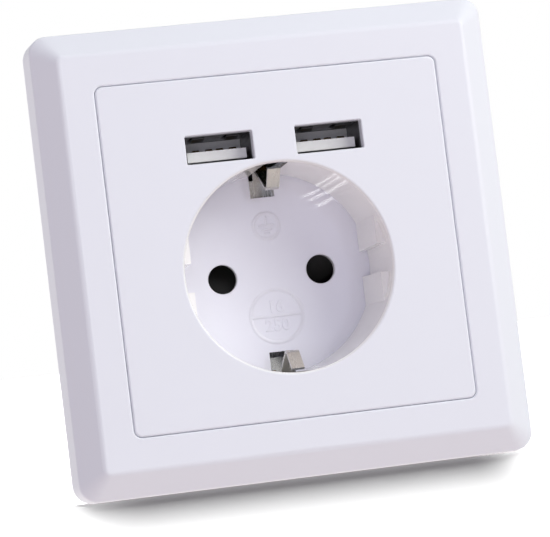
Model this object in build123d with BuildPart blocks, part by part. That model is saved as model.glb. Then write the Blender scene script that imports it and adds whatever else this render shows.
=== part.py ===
import os
from math import atan2, cos, degrees, hypot, radians, sin, sqrt

from build123d import *

os.makedirs("parts", exist_ok=True)

# Flush-mounted wall socket with a round earthed well and two USB ports, in millimetres.
# X runs right, Y into the wall and Z up; the wall surface is Y = 0.
# Heights are measured from the wall surface towards the room, and levels behind it are negative.

# Cover frame
FRAME_SIDE = 86.0
FRAME_HEIGHT = 12.0
FRAME_CORNER_R = 3.6
FRAME_DRAFT = 0.3
FRAME_WALL = 2.0
BEVEL_HEIGHT = 3.9
BEVEL_W = 4.6
BEVEL_EDGE_R = 1.5
BEVEL_FOOT_R = 0.6
FRONT_CORNER_R = 1.2
LEDGE_W = 1.35
LEDGE_T = 1.6
EDGE_R = 0.4

# Centre plate
PLATE_SIDE = 64.0
PLATE_CORNER_R = 1.4
PLATE_T = 2.0
SEAM = 0.08
RIB_GAP = 0.3
RIB_T = 1.2
RIB_HEIGHT = 2.4

# Round well
WELL_Z = -4.2
WELL_DEPTH = 18.0
WELL_RIM_R = 19.4
WELL_DRAFT = 0.4
WELL_WALL = 1.0
FLOOR_T = 1.4
RIM_EDGE_R = 0.6
PIN_PITCH = 19.0
PIN_HOLE_R = 2.75
PIN_EDGE_R = 0.25
FLAT_INSET = 2.1
FLAT_DROP = 3.2
FLAT_DRAFT_DEG = 1.0
GROOVE_W = 4.8
EARTH_SLOT_L = 4.7
EARTH_SLOT_DROP = 1.2

# USB ports
USB_X = 10.3
PORT_GAP = 0.16
SHELL_W = 13.0
SHELL_H = 5.7
SHELL_T = 0.3
SHELL_DEPTH = 14.0
SHELL_LEG_W = 1.2
SHELL_LEG_L = 1.5
SHELL_LEG_Z = 1.2
WINDOW_GAP = 0.08
WINDOW_CORNER_R = 0.3
WINDOW_EDGE_R = 0.25
TAB_X = 3.2
TAB_W = 2.2
TAB_L = 6.0
TAB_SETBACK = 1.2
TAB_TIP = 2.0
TAB_REACH = 0.7
TAB_GAP = 0.25
TONGUE_SIDE_GAP = 0.65
TONGUE_T = 1.85
TONGUE_DROP = 3.8
TONGUE_OFFSET = -1.0
INSULATOR_BASE = 4.0
INSULATOR_GAP = 0.05
CONTACT_XS = (-3.5, -1.0, 1.0, 3.5)
CONTACT_W = 1.2
CONTACT_T = 0.3
CONTACT_SIDE_GAP = 0.1
CONTACT_SINK = 0.1
CONTACT_SETBACK = 0.7
CONTACT_SOLDER_SETBACK = 0.2
CROWN_RISE = 0.75
CROWN_FRONT = 0.4
CROWN_PEAK = 1.8
CROWN_BACK = 4.4

# Rear housing
HOUSING_WALL = 1.6
HOUSING_GAP = 0.3
HOUSING_EDGE_R = 0.8
BAY_W = 10.8
FLANGE_CORNER_R = 5.0
FLANGE_T = 1.6
BOARD_SEAT = 1.3
BOARD_POST_W = 3.0
BOARD_POST_H = 2.4
WIRE_HOLE_R = 2.0
SCREW_ACCESS_R = 2.4

# Snap hooks of the centre plate
HOOK_ANGLES = (35, 145, 215, 325)
HOOK_W = 5.0
HOOK_T = 1.5
HOOK_GAP = 0.25
HOOK_LENGTH = 14.5
BARB_LENGTH = 2.3
BARB = 0.9

# Support plate
SUPPORT_SIDE = 72.0
SUPPORT_CORNER_R = 4.0
SUPPORT_T = 1.0
SUPPORT_GAP = 0.3
BOX_PITCH = 60.0
BOX_SLOT_L = 7.0
BOX_SLOT_W = 4.2
PLATE_SCREW_INSET = 4.7
PLATE_SCREW_R = 1.1
PLATE_SCREW_HEAD_R = 2.2
PLATE_SCREW_HEAD_H = 1.4
PLATE_SCREW_GAP = 0.1

# Earth bracket
BRACKET_T = 0.8
BRACKET_W = 7.0
FINGER_T = 0.5
FINGER_W = 2.4
FINGER_NECK = 3.0
FINGER_SIDE_GAP = 1.12
FINGER_GAP = 0.2
FINGER_REACH = 4.45
FINGER_ROOT = 0.6
FINGER_APEX = 10.4
FINGER_END = 14.2
FINGER_TUCK = 0.7
FINGER_BEND_R = 0.7
FINGER_BULGE_R = 1.6
STRAP_WINDOW_W = 5.0
STRAP_WINDOW_SHOW = 1.0
STRAP_WINDOW_GAP = 0.3
EARTH_TAIL_W = 5.0
EARTH_TAIL_GAP = 0.5
TAIL_SETBACK = 0.6

# Shutter, spring and contact carrier
SHUTTER_GAP = 0.15
SHUTTER_CLEARANCE = 0.3
SHUTTER_DEPTH = 4.6
PAD_COVER = 0.5
PAD_LAND = 0.7
PAD_LOW = 0.9
ARM_W = 5.0
ARM_T = 2.2
HUB_R = 4.6
POST_R = 2.0
SPRING_GAP = 0.9
SPRING_WIRE_R = 0.2
SPRING_PITCH = 0.6
CARRIER_GAP = 2.2
CARRIER_SIDE = 5.0
CARRIER_END = 7.6
CARRIER_FLOOR = 1.4
POCKET_SIDE_GAP = 0.5
POCKET_END_GAP = 0.1
POCKET_ROOM = 1.05

# Pin contacts and terminals
STRIP_T = 0.7
STRIP_W = 6.0
PIN_MOUTH = 3.6
PIN_THROAT = 1.9
PIN_BODY = 2.3
THROAT_DEPTH = 2.4
BODY_DEPTH = 6.0
CONTACT_DEPTH = 11.4
STRIP_BEND_R = 0.6
TERMINAL_X = 10.0
TERMINAL_W = 6.2
TERMINAL_H = 6.6
TERMINAL_L = 11.8
TERMINAL_BORE_R = 1.6
TERMINAL_SCREW_R = 1.5
TERMINAL_SCREW_GAP = 0.1
TERMINAL_SCREW_OUT = 0.4
TERMINAL_SCREW_DEPTH = 6.0

# USB supply
BOARD_T = 1.6
BOARD_H = 6.6
BOARD_GAP = 0.5
BOARD_EDGE_GAP = 0.4
BOARD_SIDE_GAP = 1.2
BOARD_MARGIN = 1.7
BOARD_HOLE_GAP = 0.18
LEG_SLOT_GAP = 0.2
CORE_W = 14.0
CORE_H = 4.6
CORE_L = 10.0
WINDING_W = 8.8
WINDING_H = 5.8
WINDING_L = 8.4
WINDING_CORNER_R = 0.6
INPUT_CAP_R = 3.2
INPUT_CAP_L = 13.0
OUTPUT_CAP_R = 2.6
OUTPUT_CAP_L = 10.0
CAP_GAP = 0.7
CAP_EDGE_R = 0.6
CHIP_W = 3.8
CHIP_H = 2.6
CHIP_T = 1.4
CHIP_RISE = 1.6
RECTIFIER_W = 4.4
RECTIFIER_H = 2.0
RECTIFIER_T = 2.0
RECTIFIER_DROP = 1.4
LEAD_R = 0.6
LEAD_GAP = 1.1
LEAD_BEND_R = 3.5

# Levels that follow from the sizes above
FRONT = FRAME_HEIGHT
PLATE_BACK = FRONT - PLATE_T
LEDGE_BACK = PLATE_BACK - LEDGE_T
BEVEL_FOOT = FRONT - BEVEL_HEIGHT
WELL_FLOOR = FRONT - WELL_DEPTH
FLOOR_BACK = WELL_FLOOR - FLOOR_T
FLANGE_FRONT = SUPPORT_T + FLANGE_T
BRACKET_BACK = FLOOR_BACK - BRACKET_T
PAD_FRONT = FLOOR_BACK - SHUTTER_GAP
SHUTTER_BACK = FLOOR_BACK - SHUTTER_DEPTH
HUB_FRONT = BRACKET_BACK - SHUTTER_CLEARANCE
CARRIER_FRONT = SHUTTER_BACK - CARRIER_GAP
POCKET_BACK = CARRIER_FRONT - CONTACT_DEPTH - STRIP_T / 2 - POCKET_ROOM
HOUSING_FLOOR = POCKET_BACK - CARRIER_FLOOR
HOUSING_BACK = HOUSING_FLOOR - HOUSING_WALL
HOOK_END = PLATE_BACK - HOOK_LENGTH
SHELL_BACK = PLATE_BACK - SHELL_DEPTH
TAB_FRONT = PLATE_BACK - TAB_SETBACK
TONGUE_FRONT = FRONT - TONGUE_DROP
CONTACT_FRONT = TONGUE_FRONT - CONTACT_SETBACK
BOARD_BACK = SHELL_BACK - BOARD_T
WINDING_BACK = BOARD_BACK - (CORE_L + WINDING_L) / 2
LEAD_LEVEL = CARRIER_FRONT + STRIP_T + LEAD_R

# Widths, radii and places that follow from the sizes above
FRONT_SIDE = FRAME_SIDE - 2 * (FRAME_DRAFT + BEVEL_W)
LEDGE_SIDE = PLATE_SIDE - 2 * LEDGE_W
RIB_SIDE = LEDGE_SIDE - 2 * RIB_GAP
WELL_FLOOR_R = WELL_RIM_R - WELL_DRAFT
WELL_OUTER_R = WELL_RIM_R + WELL_WALL
WELL_DRAFT_DEG = degrees(atan2(WELL_DRAFT, WELL_DEPTH))
FLAT_X = WELL_RIM_R - FLAT_INSET
EARTH_SLOT_INNER_R = WELL_RIM_R - EARTH_SLOT_L
EARTH_SLOT_W = FINGER_W + 2 * FINGER_SIDE_GAP
FINGER_ARM_R = WELL_OUTER_R + FINGER_GAP
FINGER_OUTER_R = FINGER_ARM_R + FINGER_T
PIN_X = PIN_PITCH / 2
PAD_R = PIN_HOLE_R + PAD_COVER
SPRING_R = POST_R + SPRING_GAP + SPRING_WIRE_R
POCKET_W = STRIP_W + 2 * POCKET_SIDE_GAP
POCKET_H = 2 * (PIN_MOUTH + STRIP_T + POCKET_END_GAP)
CARRIER_W = PIN_PITCH + POCKET_W + 2 * CARRIER_SIDE
CARRIER_H = POCKET_H + 2 * CARRIER_END
CARRIER_BOTTOM = WELL_Z - CARRIER_H / 2
TERMINAL_Z = CARRIER_BOTTOM - TERMINAL_H / 2
TERMINAL_XS = (-TERMINAL_X, 0, TERMINAL_X)
TERMINAL_BOTTOM = TERMINAL_Z - TERMINAL_H / 2
TERMINAL_SCREW_Y = TERMINAL_SCREW_DEPTH - CARRIER_FRONT
TAIL_END = CARRIER_H / 2 + TERMINAL_H - TAIL_SETBACK
WELL_SHOULDER = sqrt(WELL_OUTER_R**2 - (USB_X - SHELL_W / 2) ** 2)
USB_Z = WELL_Z + WELL_SHOULDER + PORT_GAP + SHELL_H / 2
SHELL_INNER_W = SHELL_W - 2 * SHELL_T
SHELL_INNER_H = SHELL_H - 2 * SHELL_T
SHELL_LEG_X = (SHELL_W - SHELL_T) / 2
SHELL_ROOF_Z = USB_Z + (SHELL_H - SHELL_T) / 2
WINDOW_W = SHELL_INNER_W + 2 * WINDOW_GAP
WINDOW_H = SHELL_INNER_H + 2 * WINDOW_GAP
TONGUE_W = SHELL_INNER_W - 2 * TONGUE_SIDE_GAP
TONGUE_TOP = USB_Z + TONGUE_OFFSET + TONGUE_T / 2
CONTACT_GROOVE_W = CONTACT_W + 2 * CONTACT_SIDE_GAP
CONTACT_GROOVE = CONTACT_T + CONTACT_SINK
CONTACT_Z = TONGUE_TOP - CONTACT_GROOVE + CONTACT_T / 2
HOUSING_INNER_R = hypot(USB_X + SHELL_W / 2, USB_Z + SHELL_H / 2) + PORT_GAP
HOUSING_R = HOUSING_INNER_R + HOUSING_WALL
BOARD_BOTTOM = WELL_Z + FINGER_OUTER_R + BOARD_GAP
BOARD_TOP = BOARD_BOTTOM + BOARD_H
BOARD_Z = (BOARD_BOTTOM + BOARD_TOP) / 2
BOARD_R = HOUSING_INNER_R - BOARD_SIDE_GAP
BOARD_W = 2 * (USB_X + SHELL_W / 2 + BOARD_MARGIN)
BOARD_HOLE_R = hypot(CONTACT_W, CONTACT_T) / 2 + BOARD_HOLE_GAP
BOARD_SEAT_X = BOARD_W / 2 - BOARD_SEAT
HOUSING_TOP = BOARD_TOP + BOARD_EDGE_GAP + HOUSING_WALL
HOUSING_BOTTOM = WELL_Z - FINGER_OUTER_R - HOUSING_GAP - HOUSING_WALL
BAY_X = WELL_OUTER_R + HOUSING_GAP + HOUSING_WALL
FLANGE_SIDE = 2 * HOUSING_R
PLATE_SCREW_PITCH = FLANGE_SIDE - 2 * PLATE_SCREW_INSET
LEAD_X = BOARD_SEAT_X - LEAD_GAP - LEAD_R
INPUT_CAP_X = LEAD_X - LEAD_R - CAP_GAP - INPUT_CAP_R
OUTPUT_CAP_X = LEAD_X - LEAD_R - CAP_GAP - OUTPUT_CAP_R

# Section through the well's axis, facing -X: height along its first axis, rise over the axis on its second
WELL_SECTION = Plane(origin=(0, 0, WELL_Z), x_dir=(0, -1, 0), z_dir=(-1, 0, 0))


def level(height):
    """Plane parallel to the wall at this height, facing the room."""
    return Plane.XZ.offset(height)


def save(part, label):
    """Name a finished piece and write its STEP file."""
    part.label = label
    export_step(part, f"parts/{label}.step")


# Cover frame: drafted sides, bevelled rim, and a ledge under the centre plate's edge
with BuildPart() as cover_frame:
    foot_side = FRAME_SIDE - 2 * FRAME_DRAFT
    with BuildSketch(level(0)):
        RectangleRounded(FRAME_SIDE, FRAME_SIDE, FRAME_CORNER_R)
    with BuildSketch(level(BEVEL_FOOT)):
        RectangleRounded(foot_side, foot_side, FRAME_CORNER_R - FRAME_DRAFT)
    loft(ruled=True)
    foot_edges = cover_frame.faces().sort_by(Axis.Y)[0].edges()
    with BuildSketch(level(BEVEL_FOOT)):
        RectangleRounded(foot_side, foot_side, FRAME_CORNER_R - FRAME_DRAFT)
    with BuildSketch(level(FRONT)):
        RectangleRounded(FRONT_SIDE, FRONT_SIDE, FRONT_CORNER_R)
    loft(ruled=True)
    fillet(cover_frame.faces().filter_by(Axis.Y).sort_by(Axis.Y)[0].edges(), BEVEL_EDGE_R)
    foot_spots = [edge.center() for edge in foot_edges]
    fillet([cover_frame.edges().sort_by_distance(spot)[0] for spot in foot_spots], BEVEL_FOOT_R)
    with BuildSketch(level(0)):
        hollow_side = FRAME_SIDE - 2 * FRAME_WALL
        RectangleRounded(hollow_side, hollow_side, FRAME_CORNER_R - FRAME_WALL)
    extrude(amount=LEDGE_BACK, mode=Mode.SUBTRACT)
    with BuildSketch(level(LEDGE_BACK)):
        RectangleRounded(LEDGE_SIDE, LEDGE_SIDE, PLATE_CORNER_R)
    extrude(amount=LEDGE_T, mode=Mode.SUBTRACT)
    with BuildSketch(level(PLATE_BACK)):
        opening_side = PLATE_SIDE + 2 * SEAM
        RectangleRounded(opening_side, opening_side, PLATE_CORNER_R + SEAM)
    extrude(amount=PLATE_T, mode=Mode.SUBTRACT)
    rim = cover_frame.faces().filter_by(Axis.Y).sort_by(Axis.Y)[0]
    fillet(rim.inner_wires()[0].edges(), EDGE_R)
save(cover_frame.part, "cover_frame")


def hook_plane(angle):
    """Plane through the frame's axis at this angle: radius along its first axis, height along its second."""
    turn = radians(angle)
    return Plane(origin=(0, 0, 0), x_dir=(cos(turn), 0, sin(turn)), z_dir=(sin(turn), 0, -cos(turn)))


# Centre plate with the well, its side flats, pin holes, earth slots, USB windows and snap hooks
with BuildPart() as centre_plate:
    with BuildSketch(level(PLATE_BACK)):
        RectangleRounded(PLATE_SIDE, PLATE_SIDE, PLATE_CORNER_R)
    extrude(amount=PLATE_T)
    fillet(centre_plate.faces().filter_by(Axis.Y).sort_by(Axis.Y)[0].edges(), EDGE_R)
    with BuildSketch(level(PLATE_BACK - RIB_HEIGHT)):
        RectangleRounded(RIB_SIDE, RIB_SIDE, PLATE_CORNER_R)
        Rectangle(RIB_SIDE - 2 * RIB_T, RIB_SIDE - 2 * RIB_T, mode=Mode.SUBTRACT)
    extrude(amount=RIB_HEIGHT)

    # Well
    with BuildSketch(level(FLOOR_BACK)):
        with Locations((0, WELL_Z)):
            Circle(WELL_OUTER_R)
    extrude(amount=PLATE_BACK - FLOOR_BACK)
    with BuildSketch(level(WELL_FLOOR)):
        with Locations((0, WELL_Z)):
            Circle(WELL_FLOOR_R)
    extrude(amount=WELL_DEPTH, taper=-WELL_DRAFT_DEG, mode=Mode.SUBTRACT)
    front_circles = centre_plate.edges().group_by(Axis.Y)[0].filter_by(GeomType.CIRCLE)
    fillet(front_circles.sort_by(SortBy.RADIUS)[-1], RIM_EDGE_R)

    # Four flats that guide the plug, two on each side of a groove
    with BuildSketch(level(WELL_FLOOR)):
        with Locations((0, WELL_Z)):
            Circle(WELL_RIM_R + WELL_WALL / 2)
            Rectangle(2 * FLAT_X, 2 * WELL_OUTER_R, mode=Mode.SUBTRACT)
            Rectangle(2 * WELL_OUTER_R, GROOVE_W, mode=Mode.SUBTRACT)
    extrude(amount=WELL_DEPTH - FLAT_DROP, taper=FLAT_DRAFT_DEG)

    # Earth slots through the wall and floor, with a shallower notch under the plate's face
    with BuildSketch(level(FLOOR_BACK)):
        slot_h = FINGER_ARM_R - EARTH_SLOT_INNER_R
        slot_z = EARTH_SLOT_INNER_R + slot_h / 2
        with Locations((0, WELL_Z - slot_z), (0, WELL_Z + slot_z)):
            Rectangle(EARTH_SLOT_W, slot_h)
    extrude(amount=PLATE_BACK - FLOOR_BACK, mode=Mode.SUBTRACT)
    with BuildSketch(level(PLATE_BACK)):
        notch_h = WELL_RIM_R + FINGER_GAP - EARTH_SLOT_INNER_R
        notch_z = EARTH_SLOT_INNER_R + notch_h / 2
        with Locations((0, WELL_Z - notch_z), (0, WELL_Z + notch_z)):
            Rectangle(EARTH_SLOT_W, notch_h)
    extrude(amount=PLATE_T - EARTH_SLOT_DROP, mode=Mode.SUBTRACT)

    # Pin holes
    with BuildSketch(level(FLOOR_BACK)):
        with Locations((-PIN_X, WELL_Z), (PIN_X, WELL_Z)):
            Circle(PIN_HOLE_R)
    extrude(amount=FLOOR_T, mode=Mode.SUBTRACT)
    fillet(centre_plate.edges(Select.LAST).filter_by(GeomType.CIRCLE).group_by(Axis.Y)[0], PIN_EDGE_R)

    # USB windows
    with BuildSketch(level(PLATE_BACK)):
        with Locations((-USB_X, USB_Z), (USB_X, USB_Z)):
            RectangleRounded(WINDOW_W, WINDOW_H, WINDOW_CORNER_R)
    extrude(amount=PLATE_T, mode=Mode.SUBTRACT)
    fillet(centre_plate.edges(Select.LAST).group_by(Axis.Y)[0], WINDOW_EDGE_R)

    # Hooks
    for angle in HOOK_ANGLES:
        hook_r = HOUSING_INNER_R - HOOK_GAP
        with BuildSketch(hook_plane(angle)):
            with BuildLine():
                Polyline(
                    (hook_r - HOOK_T, PLATE_BACK),
                    (hook_r, PLATE_BACK),
                    (hook_r, HOOK_END + BARB_LENGTH),
                    (hook_r + BARB, HOOK_END + BARB_LENGTH),
                    (hook_r, HOOK_END),
                    (hook_r - HOOK_T, HOOK_END),
                    close=True,
                )
            make_face()
        extrude(amount=HOOK_W / 2, both=True)
save(centre_plate.part, "centre_plate")

# Earth bracket: a strap behind the well's floor, a sprung V finger at each end, a window behind the lower
# slot and a tail to the terminal
with BuildPart() as earth_bracket:
    with BuildSketch(level(BRACKET_BACK)):
        with Locations((0, WELL_Z)):
            Rectangle(BRACKET_W, 2 * (FINGER_OUTER_R - FINGER_NECK))
            Rectangle(FINGER_W, 2 * FINGER_OUTER_R)
    extrude(amount=BRACKET_T)
    root = (FLOOR_BACK + FINGER_ROOT, FINGER_ARM_R + FINGER_T / 2)
    bulge = (WELL_FLOOR + FINGER_APEX, WELL_RIM_R - FINGER_REACH)
    with BuildSketch(WELL_SECTION):
        with BuildLine() as finger_line:
            Polyline(
                (BRACKET_BACK, FINGER_ARM_R + FINGER_T / 2),
                root,
                bulge,
                (WELL_FLOOR + FINGER_END, WELL_RIM_R - FINGER_TUCK),
            )
            fillet(finger_line.vertices().sort_by_distance(root)[0], FINGER_BEND_R)
            fillet(finger_line.vertices().sort_by_distance(bulge)[0], FINGER_BULGE_R)
        trace(finger_line.line, line_width=FINGER_T)
    extrude(amount=FINGER_W / 2, both=True)
    mirror(about=Plane.XY.offset(WELL_Z))
    tail_drop = CARRIER_H / 2 + EARTH_TAIL_GAP
    with BuildSketch(level(BRACKET_BACK)):
        strap_window_top = tail_drop + BRACKET_T + STRAP_WINDOW_GAP
        strap_window_h = EARTH_SLOT_INNER_R + STRAP_WINDOW_SHOW - strap_window_top
        with Locations((0, WELL_Z - strap_window_top - strap_window_h / 2)):
            Rectangle(STRAP_WINDOW_W, strap_window_h)
    extrude(amount=BRACKET_T, mode=Mode.SUBTRACT)
    with BuildSketch(WELL_SECTION):
        with BuildLine():
            Polyline(
                (BRACKET_BACK, -tail_drop - BRACKET_T),
                (CARRIER_FRONT + BRACKET_T, -tail_drop - BRACKET_T),
                (CARRIER_FRONT + BRACKET_T, -TAIL_END),
                (CARRIER_FRONT, -TAIL_END),
                (CARRIER_FRONT, -tail_drop),
                (BRACKET_BACK, -tail_drop),
                close=True,
            )
        make_face()
    extrude(amount=EARTH_TAIL_W / 2, both=True)
save(earth_bracket.part, "earth_bracket")

# Shutter: a rotor with a ramped pad behind each pin hole, so two pins pressed in together turn it aside
with BuildPart() as shutter:
    with BuildSketch(level(SHUTTER_BACK)):
        with Locations((0, WELL_Z)):
            Rectangle(PIN_PITCH, ARM_W)
    extrude(amount=ARM_T)
    with BuildSketch(level(SHUTTER_BACK)):
        with Locations((0, WELL_Z)):
            Circle(HUB_R)
    extrude(amount=HUB_FRONT - SHUTTER_BACK)
    with BuildSketch(level(SHUTTER_BACK)):
        with Locations((-PIN_X, WELL_Z), (PIN_X, WELL_Z)):
            Circle(PAD_R)
    extrude(amount=PAD_FRONT - SHUTTER_BACK)
    for side in (-1, 1):
        with BuildSketch(WELL_SECTION.offset(-side * PIN_X)):
            with BuildLine():
                Polyline(
                    (PAD_FRONT, side * (PAD_R - PAD_LAND)),
                    (SHUTTER_BACK + PAD_LOW, -side * PAD_R),
                    (PAD_FRONT, -side * PAD_R),
                    close=True,
                )
            make_face()
        extrude(amount=PAD_R, both=True, mode=Mode.SUBTRACT)
    with BuildSketch(level(SHUTTER_BACK)):
        with Locations((0, WELL_Z)):
            Circle(POST_R + SHUTTER_CLEARANCE)
    extrude(amount=SHUTTER_DEPTH, mode=Mode.SUBTRACT)
save(shutter.part, "shutter")

# Torsion spring of the shutter, coiled round the post
with BuildPart() as shutter_spring:
    coil_start = CARRIER_FRONT + SPRING_WIRE_R
    coil_height = CARRIER_GAP - SHUTTER_CLEARANCE - 2 * SPRING_WIRE_R
    with BuildLine() as coil:
        Helix(SPRING_PITCH, coil_height, SPRING_R, center=(0, -coil_start, WELL_Z), direction=(0, -1, 0))
    with BuildSketch(Plane(origin=coil.line @ 0, z_dir=coil.line % 0)):
        Circle(SPRING_WIRE_R)
    sweep(path=coil.line, is_frenet=True)
save(shutter_spring.part, "shutter_spring")

# Contact carrier: a block with a pocket for each pin contact and the shutter's post on its front
with BuildPart() as contact_carrier:
    with BuildSketch(level(HOUSING_FLOOR)):
        with Locations((0, WELL_Z)):
            Rectangle(CARRIER_W, CARRIER_H)
    extrude(amount=CARRIER_FRONT - HOUSING_FLOOR)
    with BuildSketch(level(POCKET_BACK)):
        with Locations((-PIN_X, WELL_Z), (PIN_X, WELL_Z)):
            Rectangle(POCKET_W, POCKET_H)
    extrude(amount=CARRIER_FRONT - POCKET_BACK, mode=Mode.SUBTRACT)
    with BuildSketch(level(CARRIER_FRONT)):
        with Locations((0, WELL_Z)):
            Circle(POST_R)
    extrude(amount=HUB_FRONT - CARRIER_FRONT)
save(contact_carrier.part, "contact_carrier")

# Pin contacts: one folded strip each, two sprung leaves and a tail lying on the terminal
for side, name in ((-1, "live"), (1, "neutral")):
    with BuildPart() as pin_contact:
        half_t = STRIP_T / 2
        with BuildSketch(WELL_SECTION.offset(-side * PIN_X)):
            with BuildLine() as strip_line:
                FilletPolyline(
                    (CARRIER_FRONT + half_t, PIN_MOUTH + half_t),
                    (CARRIER_FRONT - THROAT_DEPTH, PIN_THROAT + half_t),
                    (CARRIER_FRONT - BODY_DEPTH, PIN_BODY + half_t),
                    (CARRIER_FRONT - CONTACT_DEPTH, PIN_BODY + half_t),
                    (CARRIER_FRONT - CONTACT_DEPTH, -PIN_BODY - half_t),
                    (CARRIER_FRONT - BODY_DEPTH, -PIN_BODY - half_t),
                    (CARRIER_FRONT - THROAT_DEPTH, -PIN_THROAT - half_t),
                    (CARRIER_FRONT + half_t, -PIN_MOUTH - half_t),
                    (CARRIER_FRONT + half_t, -TAIL_END),
                    radius=STRIP_BEND_R,
                )
            trace(strip_line.line, line_width=STRIP_T)
        extrude(amount=STRIP_W / 2, both=True)
    save(pin_contact.part, f"{name}_contact")

# Terminals: brass blocks with a wire bore from the back and a clamp screw from below
for terminal_x, name in zip(TERMINAL_XS, ("live", "earth", "neutral")):
    with BuildPart() as terminal:
        with BuildSketch(level(CARRIER_FRONT - TERMINAL_L)):
            with Locations((terminal_x, TERMINAL_Z)):
                Rectangle(TERMINAL_W, TERMINAL_H)
                Circle(TERMINAL_BORE_R, mode=Mode.SUBTRACT)
        extrude(amount=TERMINAL_L)
        with BuildSketch(Plane.XY.offset(TERMINAL_BOTTOM)):
            with Locations((terminal_x, TERMINAL_SCREW_Y)):
                Circle(TERMINAL_SCREW_R + TERMINAL_SCREW_GAP)
        extrude(amount=TERMINAL_H / 2, mode=Mode.SUBTRACT)
    save(terminal.part, f"{name}_terminal")

with BuildPart() as terminal_screws:
    with BuildSketch(Plane.XY.offset(TERMINAL_BOTTOM - TERMINAL_SCREW_OUT)):
        with Locations([(x, TERMINAL_SCREW_Y) for x in TERMINAL_XS]):
            Circle(TERMINAL_SCREW_R)
    extrude(amount=TERMINAL_SCREW_OUT + TERMINAL_H / 2 - TERMINAL_BORE_R)
save(terminal_screws.part, "terminal_screws")


def side_bays(grow):
    """Cut the bay at each side that clears the wall box's screw columns, shrunk by this much."""
    depth = SUPPORT_SIDE / 2 - BAY_X - grow
    centre_x = BAY_X + grow + depth / 2
    with Locations((-centre_x, 0), (centre_x, 0)):
        Rectangle(depth, BAY_W - 2 * grow, mode=Mode.SUBTRACT)


def housing_outline(grow):
    """Round outline with a flat at top and bottom and a bay at each side, grown by this much."""
    Circle(HOUSING_R + grow)
    with Locations((0, (HOUSING_TOP + HOUSING_BOTTOM) / 2)):
        Rectangle(2 * (HOUSING_R + grow), HOUSING_TOP - HOUSING_BOTTOM + 2 * grow, mode=Mode.INTERSECT)
    side_bays(grow)


# Rear housing: a cup with a flange on the support plate, board posts, wire entries and screw access
with BuildPart() as rear_housing:
    with BuildSketch(level(HOUSING_BACK)):
        housing_outline(0)
    extrude(amount=SUPPORT_T - HOUSING_BACK)
    fillet(rear_housing.faces().sort_by(Axis.Y)[-1].edges(), HOUSING_EDGE_R)
    with BuildSketch(level(SUPPORT_T)):
        RectangleRounded(FLANGE_SIDE, FLANGE_SIDE, FLANGE_CORNER_R)
        side_bays(0)
        with GridLocations(PLATE_SCREW_PITCH, PLATE_SCREW_PITCH, 2, 2):
            Circle(PLATE_SCREW_R + PLATE_SCREW_GAP, mode=Mode.SUBTRACT)
    extrude(amount=FLANGE_T)
    with BuildSketch(level(HOUSING_FLOOR)):
        housing_outline(-HOUSING_WALL)
    extrude(amount=FLANGE_FRONT - HOUSING_FLOOR, mode=Mode.SUBTRACT)
    with BuildSketch(level(HOUSING_FLOOR)):
        post_x = BOARD_SEAT_X + BOARD_POST_W / 2
        post_z = BOARD_BOTTOM + BOARD_POST_H / 2
        with Locations((-post_x, post_z), (post_x, post_z)):
            Rectangle(BOARD_POST_W, BOARD_POST_H)
    extrude(amount=BOARD_BACK - HOUSING_FLOOR)
    with BuildSketch(level(HOUSING_BACK)):
        with Locations([(x, TERMINAL_Z) for x in TERMINAL_XS]):
            Circle(WIRE_HOLE_R)
    extrude(amount=HOUSING_WALL, mode=Mode.SUBTRACT)
    with BuildSketch(Plane.XY.offset(HOUSING_BOTTOM)):
        with Locations([(x, TERMINAL_SCREW_Y) for x in TERMINAL_XS]):
            Circle(SCREW_ACCESS_R)
    extrude(amount=TERMINAL_BOTTOM - HOUSING_BOTTOM, mode=Mode.SUBTRACT)
    for angle in HOOK_ANGLES:
        with BuildSketch(hook_plane(angle)):
            with Locations((HOUSING_R, HOOK_END + BARB_LENGTH / 2)):
                Rectangle(2 * (HOUSING_WALL + HOOK_GAP), BARB_LENGTH + 2 * HOOK_GAP)
        extrude(amount=HOOK_W / 2 + HOOK_GAP, both=True, mode=Mode.SUBTRACT)
save(rear_housing.part, "rear_housing")

# Support plate: pressed steel, with a slot at each side for the wall box's screws
with BuildPart() as support_plate:
    with BuildSketch(level(0)):
        RectangleRounded(SUPPORT_SIDE, SUPPORT_SIDE, SUPPORT_CORNER_R)
        with BuildSketch(mode=Mode.SUBTRACT):
            housing_outline(SUPPORT_GAP)
        with Locations((-BOX_PITCH / 2, 0), (BOX_PITCH / 2, 0)):
            SlotOverall(BOX_SLOT_L, BOX_SLOT_W, mode=Mode.SUBTRACT)
        with GridLocations(PLATE_SCREW_PITCH, PLATE_SCREW_PITCH, 2, 2):
            Circle(PLATE_SCREW_R + PLATE_SCREW_GAP, mode=Mode.SUBTRACT)
    extrude(amount=SUPPORT_T)
save(support_plate.part, "support_plate")

# Screws that hold the housing's flange to the support plate
with BuildPart() as plate_screws:
    with BuildSketch(level(PLATE_SCREW_GAP)):
        with GridLocations(PLATE_SCREW_PITCH, PLATE_SCREW_PITCH, 2, 2):
            Circle(PLATE_SCREW_R)
    extrude(amount=FLANGE_FRONT - PLATE_SCREW_GAP)
    with BuildSketch(level(FLANGE_FRONT)):
        with GridLocations(PLATE_SCREW_PITCH, PLATE_SCREW_PITCH, 2, 2):
            Circle(PLATE_SCREW_HEAD_R)
    extrude(amount=PLATE_SCREW_HEAD_H)
save(plate_screws.part, "plate_screws")

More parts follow.
